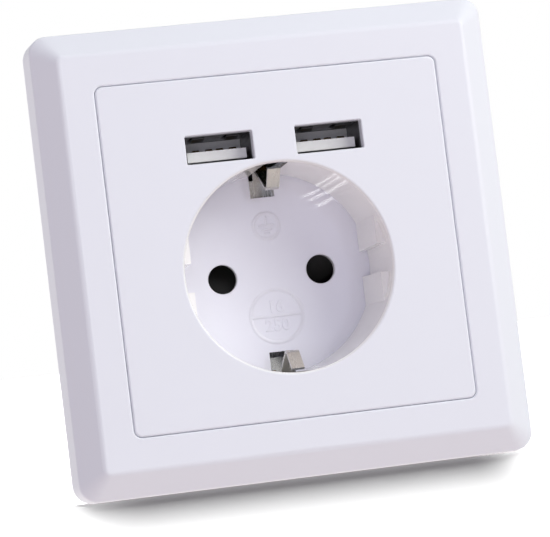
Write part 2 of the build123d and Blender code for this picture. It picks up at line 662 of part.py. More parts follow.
# USB ports: a folded shell with two sprung tabs, an insulator with the tongue, and four crowned contacts
for side, name in ((-1, "left"), (1, "right")):
    port_x = side * USB_X
    leg_spots = [(port_x + x, USB_Z + SHELL_LEG_Z) for x in (-SHELL_LEG_X, SHELL_LEG_X)]
    with BuildPart() as usb_shell:
        with BuildSketch(level(SHELL_BACK)):
            with Locations((port_x, USB_Z)):
                Rectangle(SHELL_W, SHELL_H)
                Rectangle(SHELL_INNER_W, SHELL_INNER_H, mode=Mode.SUBTRACT)
        extrude(amount=SHELL_DEPTH)
        with BuildSketch(level(SHELL_BACK - SHELL_LEG_L)):
            with Locations(leg_spots):
                Rectangle(SHELL_T, SHELL_LEG_W)
        extrude(amount=SHELL_LEG_L)
        roof = SHELL_ROOF_Z - WELL_Z
        for tab_x in (port_x - TAB_X, port_x + TAB_X):
            with BuildSketch(WELL_SECTION.offset(-tab_x)):
                with Locations((TAB_FRONT - TAB_L / 2, roof)):
                    Rectangle(TAB_L, 2 * SHELL_T)
            extrude(amount=TAB_W / 2 + TAB_GAP, both=True, mode=Mode.SUBTRACT)
            with BuildSketch(WELL_SECTION.offset(-tab_x)):
                with BuildLine() as tab_line:
                    FilletPolyline(
                        (TAB_FRONT - TAB_L - SHELL_T, roof),
                        (TAB_FRONT - TAB_L + SHELL_T, roof),
                        (TAB_FRONT - TAB_TIP, roof - TAB_REACH),
                        (TAB_FRONT - TAB_GAP, roof - SHELL_T),
                        radius=SHELL_T,
                    )
                trace(tab_line.line, line_width=SHELL_T)
            extrude(amount=TAB_W / 2, both=True)
    save(usb_shell.part, f"usb_shell_{name}")

    contact_spots = [(port_x + x, CONTACT_Z) for x in CONTACT_XS]
    with BuildPart() as usb_insulator:
        with BuildSketch(level(SHELL_BACK)):
            with Locations((port_x, USB_Z)):
                Rectangle(SHELL_INNER_W - 2 * INSULATOR_GAP, SHELL_INNER_H - 2 * INSULATOR_GAP)
            with Locations(contact_spots):
                Rectangle(CONTACT_W, CONTACT_T, mode=Mode.SUBTRACT)
        extrude(amount=INSULATOR_BASE)
        with BuildSketch(level(SHELL_BACK + INSULATOR_BASE)):
            with Locations((port_x, USB_Z + TONGUE_OFFSET)):
                Rectangle(TONGUE_W, TONGUE_T)
        extrude(amount=TONGUE_FRONT - SHELL_BACK - INSULATOR_BASE)
        with BuildSketch(level(SHELL_BACK + INSULATOR_BASE)):
            with Locations([(port_x + x, TONGUE_TOP - CONTACT_GROOVE / 2) for x in CONTACT_XS]):
                Rectangle(CONTACT_GROOVE_W, CONTACT_GROOVE)
        extrude(amount=CONTACT_FRONT + CONTACT_SIDE_GAP - SHELL_BACK - INSULATOR_BASE, mode=Mode.SUBTRACT)
    save(usb_insulator.part, f"usb_insulator_{name}")

    with BuildPart() as usb_contacts:
        groove_line = CONTACT_Z - WELL_Z
        for contact_x in CONTACT_XS:
            with BuildSketch(WELL_SECTION.offset(-port_x - contact_x)):
                with BuildLine() as contact_line:
                    FilletPolyline(
                        (BOARD_BACK + CONTACT_SOLDER_SETBACK, groove_line),
                        (CONTACT_FRONT - CROWN_BACK, groove_line),
                        (CONTACT_FRONT - CROWN_PEAK, groove_line + CROWN_RISE),
                        (CONTACT_FRONT - CROWN_FRONT, groove_line),
                        (CONTACT_FRONT, groove_line),
                        radius=CONTACT_T,
                    )
                trace(contact_line.line, line_width=CONTACT_T)
            extrude(amount=CONTACT_W / 2, both=True)
    save(usb_contacts.part, f"usb_contacts_{name}")

# Circuit board of the USB supply, standing behind the two ports
with BuildPart() as charger_board:
    with BuildSketch(level(BOARD_BACK)):
        with Locations((0, BOARD_Z)):
            Rectangle(BOARD_W, BOARD_H)
        Circle(BOARD_R, mode=Mode.INTERSECT)
        for port_x in (-USB_X, USB_X):
            with Locations([(port_x + x, CONTACT_Z) for x in CONTACT_XS]):
                Circle(BOARD_HOLE_R, mode=Mode.SUBTRACT)
            leg_z = USB_Z + SHELL_LEG_Z
            with Locations((port_x - SHELL_LEG_X, leg_z), (port_x + SHELL_LEG_X, leg_z)):
                Rectangle(SHELL_T + 2 * LEG_SLOT_GAP, SHELL_LEG_W + 2 * LEG_SLOT_GAP, mode=Mode.SUBTRACT)
    extrude(amount=BOARD_T)
save(charger_board.part, "charger_board")

# Transformer: a ferrite frame round its winding
with BuildPart() as transformer_core:
    with BuildSketch(level(BOARD_BACK - CORE_L)):
        with Locations((0, BOARD_Z)):
            Rectangle(CORE_W, CORE_H)
    extrude(amount=CORE_L)
    with BuildSketch(level(WINDING_BACK)):
        with Locations((0, BOARD_Z)):
            Rectangle(WINDING_W, CORE_H)
    extrude(amount=WINDING_L, mode=Mode.SUBTRACT)
save(transformer_core.part, "transformer_core")

with BuildPart() as transformer_winding:
    with BuildSketch(level(WINDING_BACK)):
        with Locations((0, BOARD_Z)):
            RectangleRounded(WINDING_W, WINDING_H, WINDING_CORNER_R)
    extrude(amount=WINDING_L)
save(transformer_winding.part, "transformer_winding")

# Electrolytic capacitors, standing on the back of the board
capacitors = (
    ("input_capacitor", -INPUT_CAP_X, INPUT_CAP_R, INPUT_CAP_L),
    ("output_capacitor", OUTPUT_CAP_X, OUTPUT_CAP_R, OUTPUT_CAP_L),
)
for name, cap_x, cap_r, cap_l in capacitors:
    with BuildPart() as capacitor:
        with BuildSketch(level(BOARD_BACK - cap_l)):
            with Locations((cap_x, BOARD_Z)):
                Circle(cap_r)
        extrude(amount=cap_l)
        fillet(capacitor.edges().sort_by(Axis.Y)[-1], CAP_EDGE_R)
    save(capacitor.part, name)

# Controller and rectifier packages on the front of the board, between the ports
packages = (
    ("controller_chip", BOARD_Z + CHIP_RISE, CHIP_W, CHIP_H, CHIP_T),
    ("bridge_rectifier", BOARD_Z - RECTIFIER_DROP, RECTIFIER_W, RECTIFIER_H, RECTIFIER_T),
)
for name, package_z, package_w, package_h, package_t in packages:
    with BuildPart() as package:
        with BuildSketch(level(SHELL_BACK)):
            with Locations((0, package_z)):
                Rectangle(package_w, package_h)
        extrude(amount=package_t)
    save(package.part, name)

# Leads from the pin contacts' tails, over the carrier, to the back of the board
for side, name in ((-1, "live"), (1, "neutral")):
    with BuildPart() as lead:
        with BuildLine() as route:
            FilletPolyline(
                (side * PIN_X, -LEAD_LEVEL, WELL_Z - POCKET_H),
                (side * LEAD_X, -LEAD_LEVEL, WELL_Z - POCKET_H),
                (side * LEAD_X, -LEAD_LEVEL, BOARD_BOTTOM + BOARD_POST_H / 2),
                (side * LEAD_X, -BOARD_BACK, BOARD_BOTTOM + BOARD_POST_H / 2),
                radius=LEAD_BEND_R,
            )
        with BuildSketch(Plane(origin=route.line @ 0, z_dir=route.line % 0)):
            Circle(LEAD_R)
        sweep(path=route.line)
    save(lead.part, f"{name}_lead")
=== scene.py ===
# %% [markdown]
# A white wall socket with a round earthed well and two USB ports.
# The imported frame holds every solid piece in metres, with X to the right, Y into the wall and Z up.
# This lesson gives each piece its finish, adds the raised signs and the turned screws, and sets the studio.

import bmesh
import bpy
import numpy as np
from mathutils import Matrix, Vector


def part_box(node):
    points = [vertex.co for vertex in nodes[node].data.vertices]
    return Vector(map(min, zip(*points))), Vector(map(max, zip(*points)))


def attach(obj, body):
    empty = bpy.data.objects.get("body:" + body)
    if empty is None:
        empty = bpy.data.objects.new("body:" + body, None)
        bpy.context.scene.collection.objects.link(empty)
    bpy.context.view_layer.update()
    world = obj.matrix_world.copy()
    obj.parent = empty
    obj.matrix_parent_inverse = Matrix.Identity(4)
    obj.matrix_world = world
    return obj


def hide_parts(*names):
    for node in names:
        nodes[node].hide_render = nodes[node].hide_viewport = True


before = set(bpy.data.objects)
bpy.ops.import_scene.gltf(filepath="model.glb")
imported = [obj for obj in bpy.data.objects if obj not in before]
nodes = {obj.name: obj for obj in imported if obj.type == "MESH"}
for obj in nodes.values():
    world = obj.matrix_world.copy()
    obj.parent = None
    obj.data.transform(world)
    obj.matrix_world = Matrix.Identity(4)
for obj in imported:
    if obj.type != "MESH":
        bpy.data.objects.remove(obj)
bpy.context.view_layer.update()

# %% [markdown]
# A few places come straight from the frame: the front, the lower edge, the well's axis and its floor.
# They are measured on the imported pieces, so the finishes and signs stay in place if a size changes.
# Only the well's rim radius and the thickness of its floor are given as numbers.

# %% Places taken from the frame
MM = 0.001
WELL_RIM_R = 19.4 * MM
FLOOR_T = 1.4 * MM
FRONT_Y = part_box("cover_frame")[0].y
BOTTOM_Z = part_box("cover_frame")[0].z
FLOOR_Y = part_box("centre_plate")[1].y - FLOOR_T
WELL_Z = (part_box("shutter")[0].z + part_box("shutter")[1].z) / 2
print("front", FRONT_Y, "well floor", FLOOR_Y, "well axis height", WELL_Z)

# %% [markdown]
# Every finish is a small node tree around one principled shader.
# Colours are written as the sRGB hex values that a colour picker gives, and one function makes them linear.
# One more function adds a node, sets its values and links its inputs, so each finish reads like a recipe.


# %% Colours and nodes
def linear(hex_colour):
    """Turn an sRGB hex colour such as "e6e6ee" into the linear RGBA that shaders use."""
    srgb = np.array([int(hex_colour[i:i + 2], 16) for i in (0, 2, 4)]) / 255
    rgb = np.where(srgb <= 0.04045, srgb / 12.92, ((srgb + 0.055) / 1.055) ** 2.4)
    return (*rgb.tolist(), 1.0)


def add(tree, kind, inputs=None, **settings):
    """Add a node; inputs gives a socket a value, or links another node's output to it."""
    made = tree.nodes.new(kind)
    for name, value in settings.items():
        setattr(made, name, value)
    for socket, value in (inputs or {}).items():
        if isinstance(value, bpy.types.NodeSocket):
            tree.links.new(value, made.inputs[socket])
        else:
            made.inputs[socket].default_value = value
    return made


print("a middle grey, 808080, is", round(linear("808080")[0], 3), "in linear light")

# %% [markdown]
# A finish starts from the real material's name and from the values that are the same all over it.
# Most surfaces then need the same three things: two close tones, a range of roughness and a fine relief.
# A pattern drives each of them, because no real surface is one flat colour.


# %% Start a finish, mottle it and paint pieces with it
def start_finish(name, **values):
    """Start a material with its uniform values on the principled shader's own sockets.
    The last thing returned is the Object coordinates, which every pattern reads."""
    finish = bpy.data.materials.new(name)
    finish.use_nodes = True
    tree = finish.node_tree
    shader = tree.nodes["Principled BSDF"]
    for socket, value in values.items():
        shader.inputs[socket.replace("_", " ")].default_value = value
    return finish, tree, shader, add(tree, "ShaderNodeTexCoord").outputs["Object"]


def feed(tree, shader, **sources):
    """Link outputs to the principled shader's sockets by name."""
    for socket, source in sources.items():
        tree.links.new(source, shader.inputs[socket.replace("_", " ")])


def mottle(tree, shader, shade, tones, rough, depth=0, strength=0.4, fine=None):
    """One pattern mixes two tones. A finer one, or the same, runs through a range of roughness
    and raises a relief of the given depth."""
    fine = fine or shade
    tone = add(tree, "ShaderNodeMix", {
        "Factor": shade, "A": linear(tones[0]), "B": linear(tones[1])}, data_type="RGBA")
    gloss = add(tree, "ShaderNodeMapRange", {"Value": fine, "To Min": rough[0], "To Max": rough[1]})
    feed(tree, shader, Base_Color=tone.outputs["Result"], Roughness=gloss.outputs["Result"])
    if depth:
        relief = add(tree, "ShaderNodeBump", {"Height": fine, "Distance": depth, "Strength": strength})
        feed(tree, shader, Normal=relief.outputs["Normal"])


def paint(finish, *names):
    """Give these CAD nodes one finish."""
    for name in names:
        nodes[name].data.materials.clear()
        nodes[name].data.materials.append(finish)
    print(finish.name, "on", ", ".join(names))


print(len(nodes), "CAD pieces wait for a finish")

# %% [markdown]
# The cover frame is injection moulded polycarbonate with a satin face.
# The mould is spark eroded, so the surface has a fine grain that spreads the highlights.
# Real grain is near 0.05 mm, too fine to show here, so it is drawn at 0.3 mm and very shallow.
# Slow clouds from the melt's flow change the tone and the gloss by a hair.

# %% Satin white frame
WHITE = linear("f2f5fd")
WHITE_DEEP = linear("f0f3fb")
FLOW = 14 * MM
GRAIN = 0.3 * MM
GRAIN_DEPTH = 0.004 * MM
SATIN_ROUGH = {"To Min": 0.40, "To Max": 0.48}
POLYCARBONATE_IOR = 1.58

satin, tree, shader, place = start_finish("satin_moulded_polycarbonate", IOR=POLYCARBONATE_IOR)
flow = add(tree, "ShaderNodeTexNoise", {"Vector": place, "Scale": 1 / FLOW, "Detail": 2.0}).outputs["Fac"]
grain = add(tree, "ShaderNodeTexNoise", {"Vector": place, "Scale": 1 / GRAIN, "Detail": 1.0}).outputs["Fac"]
tone = add(tree, "ShaderNodeMix", {"Factor": flow, "A": WHITE, "B": WHITE_DEEP}, data_type="RGBA")
gloss = add(tree, "ShaderNodeMapRange", {"Value": flow, **SATIN_ROUGH})
relief = add(tree, "ShaderNodeBump", {"Height": grain, "Distance": GRAIN_DEPTH, "Strength": 0.5})
feed(tree, shader, Base_Color=tone.outputs["Result"], Roughness=gloss.outputs["Result"],
     Normal=relief.outputs["Normal"])
paint(satin, "cover_frame")

# %% [markdown]
# The centre plate is the same plastic, but its well is polished so that a plug slides in easily.
# The distance from the well's axis tells the shader where the polish starts, just outside the rim.
# The same distance fades the grain out, so the well mirrors the lights sharply.
# The well's wall gets a slightly brighter, warmer white than its floor: painted light that lifts the shade
# on the wall.

# %% Centre plate with a polished well
POLISH_EDGE = 0.5 * MM
POLISH_ROUGH = 0.02
FLOOR_WHITE = linear("f3f3fb")
# Painted light: the wall's white is brighter and warmer than the floor's, to lift the shade on the wall.
WALL_WHITE_PAINTED_LIGHT = linear("fdfcfb")

plate_finish, tree, shader, place = start_finish("polished_moulded_polycarbonate", IOR=POLYCARBONATE_IOR)
flow = add(tree, "ShaderNodeTexNoise", {"Vector": place, "Scale": 1 / FLOW, "Detail": 2.0}).outputs["Fac"]
grain = add(tree, "ShaderNodeTexNoise", {"Vector": place, "Scale": 1 / GRAIN, "Detail": 1.0}).outputs["Fac"]
flat = add(tree, "ShaderNodeVectorMath", {0: place, 1: (1, 0, 1)}, operation="MULTIPLY").outputs["Vector"]
from_axis = add(tree, "ShaderNodeVectorMath", {0: flat, 1: (0, 0, WELL_Z)}, operation="DISTANCE")
outside = add(tree, "ShaderNodeMapRange", {
    "Value": from_axis.outputs["Value"],
    "From Min": WELL_RIM_R, "From Max": WELL_RIM_R + POLISH_EDGE}).outputs["Result"]
depth = add(tree, "ShaderNodeSeparateXYZ", {"Vector": place}).outputs["Y"]
on_floor = add(tree, "ShaderNodeMapRange", {
    "Value": depth,
    "From Min": FLOOR_Y - POLISH_EDGE, "From Max": FLOOR_Y - POLISH_EDGE / 2}).outputs["Result"]
clouds = add(tree, "ShaderNodeMix", {"Factor": flow, "A": WHITE, "B": WHITE_DEEP}, data_type="RGBA")
# The wall's brighter white mixed in here is painted light.
well_tone_with_painted_light = add(tree, "ShaderNodeMix", {
    "Factor": on_floor, "A": WALL_WHITE_PAINTED_LIGHT, "B": FLOOR_WHITE}, data_type="RGBA")
tone = add(tree, "ShaderNodeMix", {
    "Factor": outside, "A": well_tone_with_painted_light.outputs["Result"], "B": clouds.outputs["Result"]}, data_type="RGBA")
satin_gloss = add(tree, "ShaderNodeMapRange", {"Value": flow, **SATIN_ROUGH})
gloss = add(tree, "ShaderNodeMix", {
    "Factor": outside, "A": POLISH_ROUGH, "B": satin_gloss.outputs["Result"]})
relief = add(tree, "ShaderNodeBump", {"Height": grain, "Distance": GRAIN_DEPTH, "Strength": outside})
feed(tree, shader, Base_Color=tone.outputs["Result"], Roughness=gloss.outputs["Result"],
     Normal=relief.outputs["Normal"])
paint(plate_finish, "centre_plate")

# %% [markdown]
# The earth bracket is a folded strip of nickel-plated spring steel.
# The shutter spring is wound from wire of the same steel.
# Rolling leaves faint lines along the strip, which a noise stretched along its length gives.
# Nickel is a slightly warm grey.
# Everything behind the well's floor is painted a darker, duller grey: painted shade in the slots.

# %% Nickel-plated spring steel
ROLL_LINE = 0.25 * MM
STAIN = 4 * MM
SHADE_EDGE = 2.0 * MM
# Painted shade: the darker grey for nickel behind the well's floor.
NICKEL_PAINTED_SHADE = linear("c0c2c6")

nickel, tree, shader, place = start_finish("nickel_plated_spring_steel", Metallic=1.0)
along = add(tree, "ShaderNodeMapping", {"Vector": place, "Scale": (1, 0.08, 0.08)}).outputs["Vector"]
lines = add(tree, "ShaderNodeTexNoise", {
    "Vector": along, "Scale": 1 / ROLL_LINE, "Detail": 3.0}).outputs["Fac"]
stain = add(tree, "ShaderNodeTexNoise", {"Vector": place, "Scale": 1 / STAIN, "Detail": 3.0}).outputs["Fac"]
bright = add(tree, "ShaderNodeMix", {
    "Factor": stain, "A": linear("e2dfd9"), "B": linear("cfccc5")}, data_type="RGBA")
depth = add(tree, "ShaderNodeSeparateXYZ", {"Vector": place}).outputs["Y"]
# Painted shade: behind the well's floor the nickel is mixed to the darker grey, over 2 mm.
painted_shade_behind_floor = add(tree, "ShaderNodeMapRange", {
    "Value": depth, "From Min": FLOOR_Y, "From Max": FLOOR_Y - SHADE_EDGE})
tone = add(tree, "ShaderNodeMix", {
    "Factor": painted_shade_behind_floor.outputs["Result"], "A": NICKEL_PAINTED_SHADE, "B": bright.outputs["Result"]}, data_type="RGBA")
gloss = add(tree, "ShaderNodeMapRange", {"Value": lines, "To Min": 0.18, "To Max": 0.33})
relief = add(tree, "ShaderNodeBump", {"Height": lines, "Distance": 0.004 * MM, "Strength": 0.4})
feed(tree, shader, Base_Color=tone.outputs["Result"], Roughness=gloss.outputs["Result"],
     Normal=relief.outputs["Normal"])
paint(nickel, "earth_bracket", "shutter_spring")

# %% [markdown]
# The support plate and the screws are pressed or rolled steel with a bright zinc coat.
# Zinc settles in crystals a few millimetres wide, each with a slightly different grey.
# A cell pattern gives every crystal its own tone, and a fine noise roughens it.

# %% Zinc-plated steel
CRYSTAL = 2.5 * MM
HAZE = 0.4 * MM
zinc, tree, shader, place = start_finish("zinc_plated_pressed_steel", Metallic=1.0)
crystals = add(tree, "ShaderNodeTexVoronoi", {"Vector": place, "Scale": 1 / CRYSTAL}).outputs["Color"]
haze = add(tree, "ShaderNodeTexNoise", {"Vector": place, "Scale": 1 / HAZE, "Detail": 2.0}).outputs["Fac"]
mottle(tree, shader, crystals, ("c3c6ca", "b4b8be"), rough=(0.28, 0.46), depth=0.006 * MM, fine=haze)
paint(zinc, "support_plate")

# %% [markdown]
# Each USB shell is folded from thin stainless sheet.
# The sheet keeps the fine lines of its rolling, which run into the wall along the shell.
# Its grey is painted well below bare stainless: painted shade for the dark inside of the window.

# %% Rolled stainless sheet
SHEET_LINE = 0.3 * MM
stainless, tree, shader, place = start_finish("rolled_stainless_sheet", Metallic=1.0)
along = add(tree, "ShaderNodeMapping", {"Vector": place, "Scale": (1, 0.06, 1)}).outputs["Vector"]
lines = add(tree, "ShaderNodeTexNoise", {
    "Vector": along, "Scale": 1 / SHEET_LINE, "Detail": 2.0}).outputs["Fac"]
# Painted shade: both tones are darker than bare stainless.
mottle(tree, shader, lines, ("8b8b8e", "7c7c80"), rough=(0.25, 0.42), depth=0.004 * MM)
paint(stainless, "usb_shell_left", "usb_shell_right")

# %% [markdown]
# The tongue in each USB port is part of a white glass-filled insulator.
# Its glass fibres leave short pale flecks in a bright plain white, raised above the frame's white: painted
# light that lifts the tongue in its recess.
# Real fibres are about 0.3 mm long. Here they are 0.4 mm wide and 1 mm long, so that they show.
# A noise that is stretched along X lays them across the tongue.

# %% Glass-filled insulator
FIBRE = 0.4 * MM
insulator, tree, shader, place = start_finish("glass_filled_polyester", IOR=1.6)
along = add(tree, "ShaderNodeMapping", {"Vector": place, "Scale": (0.4, 1, 1)}).outputs["Vector"]
fibres = add(tree, "ShaderNodeTexNoise", {
    "Vector": along, "Scale": 1 / FIBRE, "Detail": 3.0}).outputs["Fac"]
# Painted light: both tones are whiter than the frame, to lift the recessed tongue.
mottle(tree, shader, fibres, ("fbfbf9", "f3f3ef"), rough=(0.42, 0.58), depth=0.008 * MM)
paint(insulator, "usb_insulator_left", "usb_insulator_right")

# %% [markdown]
# The four strips on each tongue are copper alloy with a thin gold plating, painted darker: painted shade
# deep in the port.
# Plugs wear it along the strip, so a stretched noise dulls it in streaks.
# The plating is as smooth as the strip under it, so this finish has no relief.

# %% Gold-plated strips
STREAK = 0.2 * MM
gold, tree, shader, place = start_finish("gold_plated_copper_alloy", Metallic=1.0)
along = add(tree, "ShaderNodeMapping", {"Vector": place, "Scale": (1, 0.1, 1)}).outputs["Vector"]
wear = add(tree, "ShaderNodeTexNoise", {
    "Vector": along, "Scale": 1 / STREAK, "Detail": 2.0}).outputs["Fac"]
# Painted shade: both tones are darker than bare gold.
mottle(tree, shader, wear, ("bd9d60", "9c7f4a"), rough=(0.18, 0.40))
paint(gold, "usb_contacts_left", "usb_contacts_right")

# %% [markdown]
# The shutter behind the pin holes is black nylon, moulded with a dull face.
# A soft grain of 0.25 mm and a high roughness keep it from looking like a hole cut in the picture.

# %% Black nylon shutter
DULL_GRAIN = 0.25 * MM
nylon, tree, shader, place = start_finish("black_moulded_nylon", IOR=1.53)
grain = add(tree, "ShaderNodeTexNoise", {
    "Vector": place, "Scale": 1 / DULL_GRAIN, "Detail": 2.0}).outputs["Fac"]
mottle(tree, shader, grain, ("08080a", "0d0d0f"), rough=(0.70, 0.85), depth=0.01 * MM, strength=0.5)
paint(nylon, "shutter")

# %% [markdown]
# The housing and the contact carrier are flame-proof polyester, duller and greyer than the front.
# It shows a coarser grain of about half a millimetre and slow clouds from the moulding's flow.
# So the clouds mix the tones here, and the grain sets the gloss and the relief.

# %% Flame-proof base moulding
BASE_FLOW = 9 * MM
BASE_GRAIN = 0.5 * MM
base_plastic, tree, shader, place = start_finish("flame_proof_polyester", IOR=1.57)
flow = add(tree, "ShaderNodeTexNoise", {
    "Vector": place, "Scale": 1 / BASE_FLOW, "Detail": 3.0}).outputs["Fac"]
grain = add(tree, "ShaderNodeTexNoise", {
    "Vector": place, "Scale": 1 / BASE_GRAIN, "Detail": 2.0}).outputs["Fac"]
mottle(tree, shader, flow, ("dfdfdd", "d3d3d0"), rough=(0.46, 0.62),
       depth=0.012 * MM, strength=0.5, fine=grain)
paint(base_plastic, "contact_carrier", "rear_housing")

# %% [markdown]
# The terminals are sawn from drawn brass bar, and the pin contacts are stamped from bronze strip.
# Both show fine drawing lines, so one recipe serves both with its own pair of colours.

# %% Drawn brass and bronze strip
DRAWN_LINE = 0.3 * MM
for name, bright, dull, pieces in (
    ("drawn_brass", "dfc07a", "c8a35a", ("live_terminal", "neutral_terminal", "earth_terminal")),
    ("phosphor_bronze_strip", "cf9a6c", "b57f52", ("live_contact", "neutral_contact")),
):
    copper_alloy, tree, shader, place = start_finish(name, Metallic=1.0)
    along = add(tree, "ShaderNodeMapping", {"Vector": place, "Scale": (1, 0.1, 1)}).outputs["Vector"]
    lines = add(tree, "ShaderNodeTexNoise", {
        "Vector": along, "Scale": 1 / DRAWN_LINE, "Detail": 3.0}).outputs["Fac"]
    mottle(tree, shader, lines, (bright, dull), rough=(0.22, 0.42), depth=0.006 * MM)
    paint(copper_alloy, *pieces)

# %% [markdown]
# The charger's board is glass epoxy under dark green solder mask.
# Copper tracks lie just under the mask and show as lighter lines, about 0.5 mm wide.
# A brick pattern's joints make a plain network of such lines, 1.8 mm apart one way and 6 mm the other.
# Its sizes are shares of one unit, so the joints, rows and bricks change together with it.

# %% Solder-masked board
TRACK_UNIT = 3.0 * MM
TRACK_RISE = 0.03 * MM
board, tree, shader, place = start_finish("green_solder_mask", IOR=1.5)
upright = add(tree, "ShaderNodeMapping", {"Vector": place, "Rotation": (np.pi / 2, 0, 0)}).outputs["Vector"]
tracks = add(tree, "ShaderNodeTexBrick", {
    "Vector": upright, "Color1": linear("14271b"), "Color2": linear("122419"), "Mortar": linear("22402d"),
    "Scale": 1 / TRACK_UNIT, "Mortar Size": 0.08, "Brick Width": 2.0, "Row Height": 0.6})
joint = tracks.outputs["Fac"]
relief = add(tree, "ShaderNodeBump", {"Height": joint, "Distance": TRACK_RISE, "Strength": 0.5})
gloss = add(tree, "ShaderNodeMapRange", {"Value": joint, "To Min": 0.30, "To Max": 0.22})
feed(tree, shader, Base_Color=tracks.outputs["Color"], Roughness=gloss.outputs["Result"],
     Normal=relief.outputs["Normal"])
paint(board, "charger_board")

# %% [markdown]
# The transformer has a dark core of sintered ferrite, which is grainy like fine stone.
# One noise with four layers of detail gives that grain in tone, gloss and relief at once.

# %% Sintered ferrite
SINTER = 0.4 * MM
ferrite, tree, shader, place = start_finish("sintered_ferrite", IOR=2.0)
grain = add(tree, "ShaderNodeTexNoise", {
    "Vector": place, "Scale": 1 / SINTER, "Detail": 4.0}).outputs["Fac"]
mottle(tree, shader, grain, ("2b2b2e", "45454a"), rough=(0.50, 0.72), depth=0.03 * MM, strength=0.6)
paint(ferrite, "transformer_core")

# %% [markdown]
# Its winding is wrapped in yellow film tape, whose turns overlap every two millimetres.
# A saw-tooth wave gives each turn a sloped face and a small step.
# At scale 1 the wave node repeats every 2 pi / 20 units, so that length over the turn's width is the scale.

# %% Winding tape
TAPE_TURN = 2.0 * MM
WAVE_STEP = 2 * np.pi / 20
tape, tree, shader, place = start_finish("yellow_polyester_tape", IOR=1.6)
turns = add(tree, "ShaderNodeTexWave", {"Vector": place, "Scale": WAVE_STEP / TAPE_TURN, "Distortion": 0.6},
            bands_direction="Y", wave_profile="SAW").outputs["Fac"]
mottle(tree, shader, turns, ("6e5212", "80621c"), rough=(0.25, 0.36), depth=0.05 * MM, strength=0.6)
paint(tape, "transformer_winding")

# %% [markdown]
# The capacitors wear a shrunk dark sleeve and the two small packages are black moulded epoxy.
# The sleeve is glossy with faint lengthwise shrink lines, the epoxy is dull with a fine grain.

# %% Capacitor sleeves and epoxy packages
for name, deep, pale, size, rough, pieces in (
    ("shrunk_sleeve", "1b2140", "2a3158", 0.8 * MM, (0.18, 0.32), ("input_capacitor", "output_capacitor")),
    ("moulded_epoxy", "1a1a1b", "262627", 0.3 * MM, (0.50, 0.66), ("controller_chip", "bridge_rectifier")),
):
    component, tree, shader, place = start_finish(name, IOR=1.55)
    along = add(tree, "ShaderNodeMapping", {"Vector": place, "Scale": (1, 0.3, 1)}).outputs["Vector"]
    grain = add(tree, "ShaderNodeTexNoise", {
        "Vector": along, "Scale": 1 / size, "Detail": 3.0}).outputs["Fac"]
    mottle(tree, shader, grain, (deep, pale), rough=rough, depth=0.02 * MM)
    paint(component, *pieces)

# %% [markdown]
# The two leads are stranded wire in soft PVC, brown for live and blue for neutral.
# The PVC is extruded, which leaves a slight orange-peel surface with lumps near 0.6 mm.

# %% Insulated leads
PEEL = 0.6 * MM
for name, deep, pale, piece in (
    ("brown_extruded_vinyl", "5a341f", "6b4029", "live_lead"),
    ("blue_extruded_vinyl", "25508f", "2f5ea3", "neutral_lead"),
):
    vinyl, tree, shader, place = start_finish(name, IOR=1.53)
    peel = add(tree, "ShaderNodeTexNoise", {
        "Vector": place, "Scale": 1 / PEEL, "Detail": 2.0}).outputs["Fac"]
    mottle(tree, shader, peel, (deep, pale), rough=(0.32, 0.48), depth=0.03 * MM, strength=0.5)
    paint(vinyl, piece)

# %% [markdown]
# New pieces are point grids worked out with numpy, one array for the whole surface.
# A grid may wrap round in either direction, and rows that meet in one point are merged into a pole.
# Several grids go into one mesh, so a sign with a ring and three bars stays one piece.


# %% Turn point grids into a piece
MERGE = 1e-7
SHARP = np.radians(50)


def grid_faces(rows, columns, wrap_rows):
    """Quads between neighbouring points of a grid whose columns wrap round; rows wrap on request."""
    row = np.arange(rows if wrap_rows else rows - 1)[:, None]
    column = np.arange(columns)[None, :]
    next_row = (row + 1) % rows
    next_column = (column + 1) % columns
    corners = (row * columns + column, row * columns + next_column,
               next_row * columns + next_column, next_row * columns + column)
    return np.stack([np.broadcast_to(c, (len(row), columns)) for c in corners], -1).reshape(-1, 4)


def place_piece(name, mesh, finish, body):
    """Link a mesh as a piece at the origin, with its finish and its body."""
    mesh.materials.clear()
    mesh.materials.append(finish)
    mesh.shade_smooth()
    mesh.set_sharp_from_angle(angle=SHARP)
    piece = bpy.data.objects.new(name, mesh)
    bpy.context.scene.collection.objects.link(piece)
    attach(piece, body)
    print(name, len(mesh.polygons), "faces")
    return piece


def make_piece(name, grids, finish, body):
    """Join point grids, each given with its row wrap, into one closed mesh that rides on a body."""
    points = []
    faces = []
    count = 0
    for grid, wrap_rows in grids:
        points.append(grid.reshape(-1, 3))
        faces.append(grid_faces(*grid.shape[:2], wrap_rows) + count)
        count += points[-1].shape[0]
    mesh = bpy.data.meshes.new(name)
    mesh.from_pydata(np.concatenate(points).tolist(), [], np.concatenate(faces).tolist())
    shape = bmesh.new()
    shape.from_mesh(mesh)
    bmesh.ops.remove_doubles(shape, verts=shape.verts, dist=MERGE)
    bmesh.ops.recalc_face_normals(shape, faces=shape.faces)
    shape.to_mesh(mesh)
    shape.free()
    return place_piece(name, mesh, finish, body)


# %% [markdown]
# Two generic signs stand on the well's floor: an earth sign in a ring and plain numbers in a larger one.
# In the mould they are engraved with a round cutter, so each line is a soft bead with no sharp foot.
# A ring is a bead carried round a circle, and a straight line is a bead with round ends.

# %% Beads for the raised signs
RING_W = 0.85 * MM
BAR_W = 0.62 * MM
BEAD_H = 0.15 * MM
BEAD_ROOT = 0.05 * MM
AROUND = np.linspace(0, 2 * np.pi, 24, endpoint=False)
BEAD_RISE = np.where(np.sin(AROUND) > 0, BEAD_H * np.sin(AROUND) ** 4, BEAD_ROOT * np.sin(AROUND))


